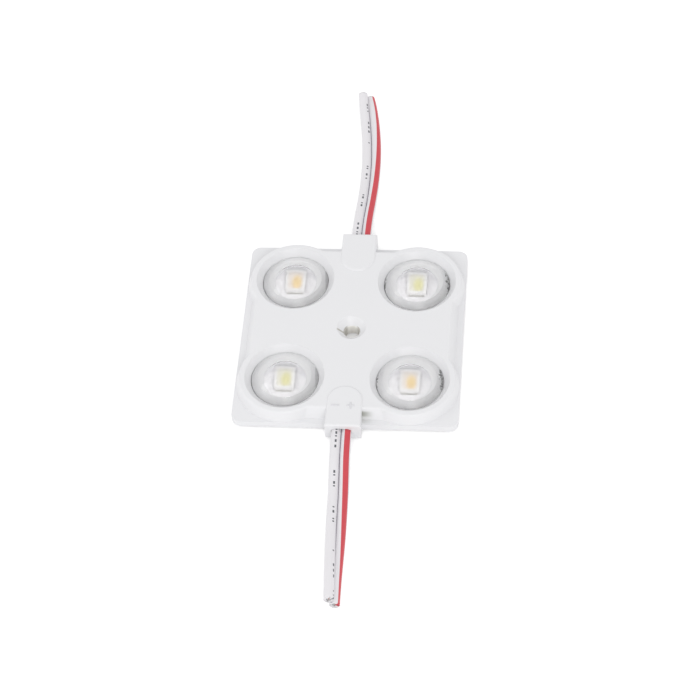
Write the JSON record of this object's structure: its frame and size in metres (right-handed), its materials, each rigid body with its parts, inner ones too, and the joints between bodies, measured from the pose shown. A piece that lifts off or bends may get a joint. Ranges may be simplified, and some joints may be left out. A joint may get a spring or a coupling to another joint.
{
  "type": "led module",
  "caption": "Flat square light module: domed clear lenses in a white moulded plate with a central countersunk screw hole and a two-core cable tail at each end.",
  "frame": {"origin": "centre of the square plate, on the surface that the module lies on (underside of the release liners)", "axes": "+Z out of the front face, the way the light leaves; +Y along the cable towards the rear tail; +X to the side of the striped cores"},
  "size_m": [0.036, 0.1043, 0.0047],
  "materials": {
    "housing": "satin white injection moulding",
    "circuit_board": "white solder mask on glass-fibre laminate",
    "lens": "clear moulded acrylic",
    "led_package": "white moulded cup",
    "led_phosphor": "pale yellow silicone with phosphor",
    "tinned_metal": "tin plating",
    "chip_body": "black epoxy",
    "resistor_body": "dark glaze on ceramic",
    "solder": "bright solder",
    "adhesive_tape": "white foam tape, tacky",
    "release_liner": "siliconised paper",
    "white_insulation": "white soft vinyl",
    "striped_insulation": "white soft vinyl with a red stripe along it",
    "copper": "stranded copper"
  },
  "bodies": {
    "root": {"housing": "housing", "circuit_board": "circuit_board", "lens_rear_left": "lens", "lens_rear_right": "lens", "lens_front_left": "lens", "lens_front_right": "lens", "led_package_rear_left": "led_package", "led_package_rear_right": "led_package", "led_package_front_left": "led_package", "led_package_front_right": "led_package", "led_phosphor_rear_left": "led_phosphor", "led_phosphor_rear_right": "led_phosphor", "led_phosphor_front_left": "led_phosphor", "led_phosphor_front_right": "led_phosphor", "led_terminals": "tinned_metal", "driver_chip": "chip_body", "driver_leads": "tinned_metal", "resistor_bodies": "resistor_body", "resistor_caps": "tinned_metal", "solder_joints": "solder", "adhesive_pads": "adhesive_tape", "release_liners": "release_liner", "rear_plain_core": "white_insulation", "rear_striped_core": "striped_insulation", "front_plain_core": "white_insulation", "front_striped_core": "striped_insulation", "rear_plain_conductor": "copper", "rear_striped_conductor": "copper", "front_plain_conductor": "copper", "front_striped_conductor": "copper"}
  },
  "joints": []
}
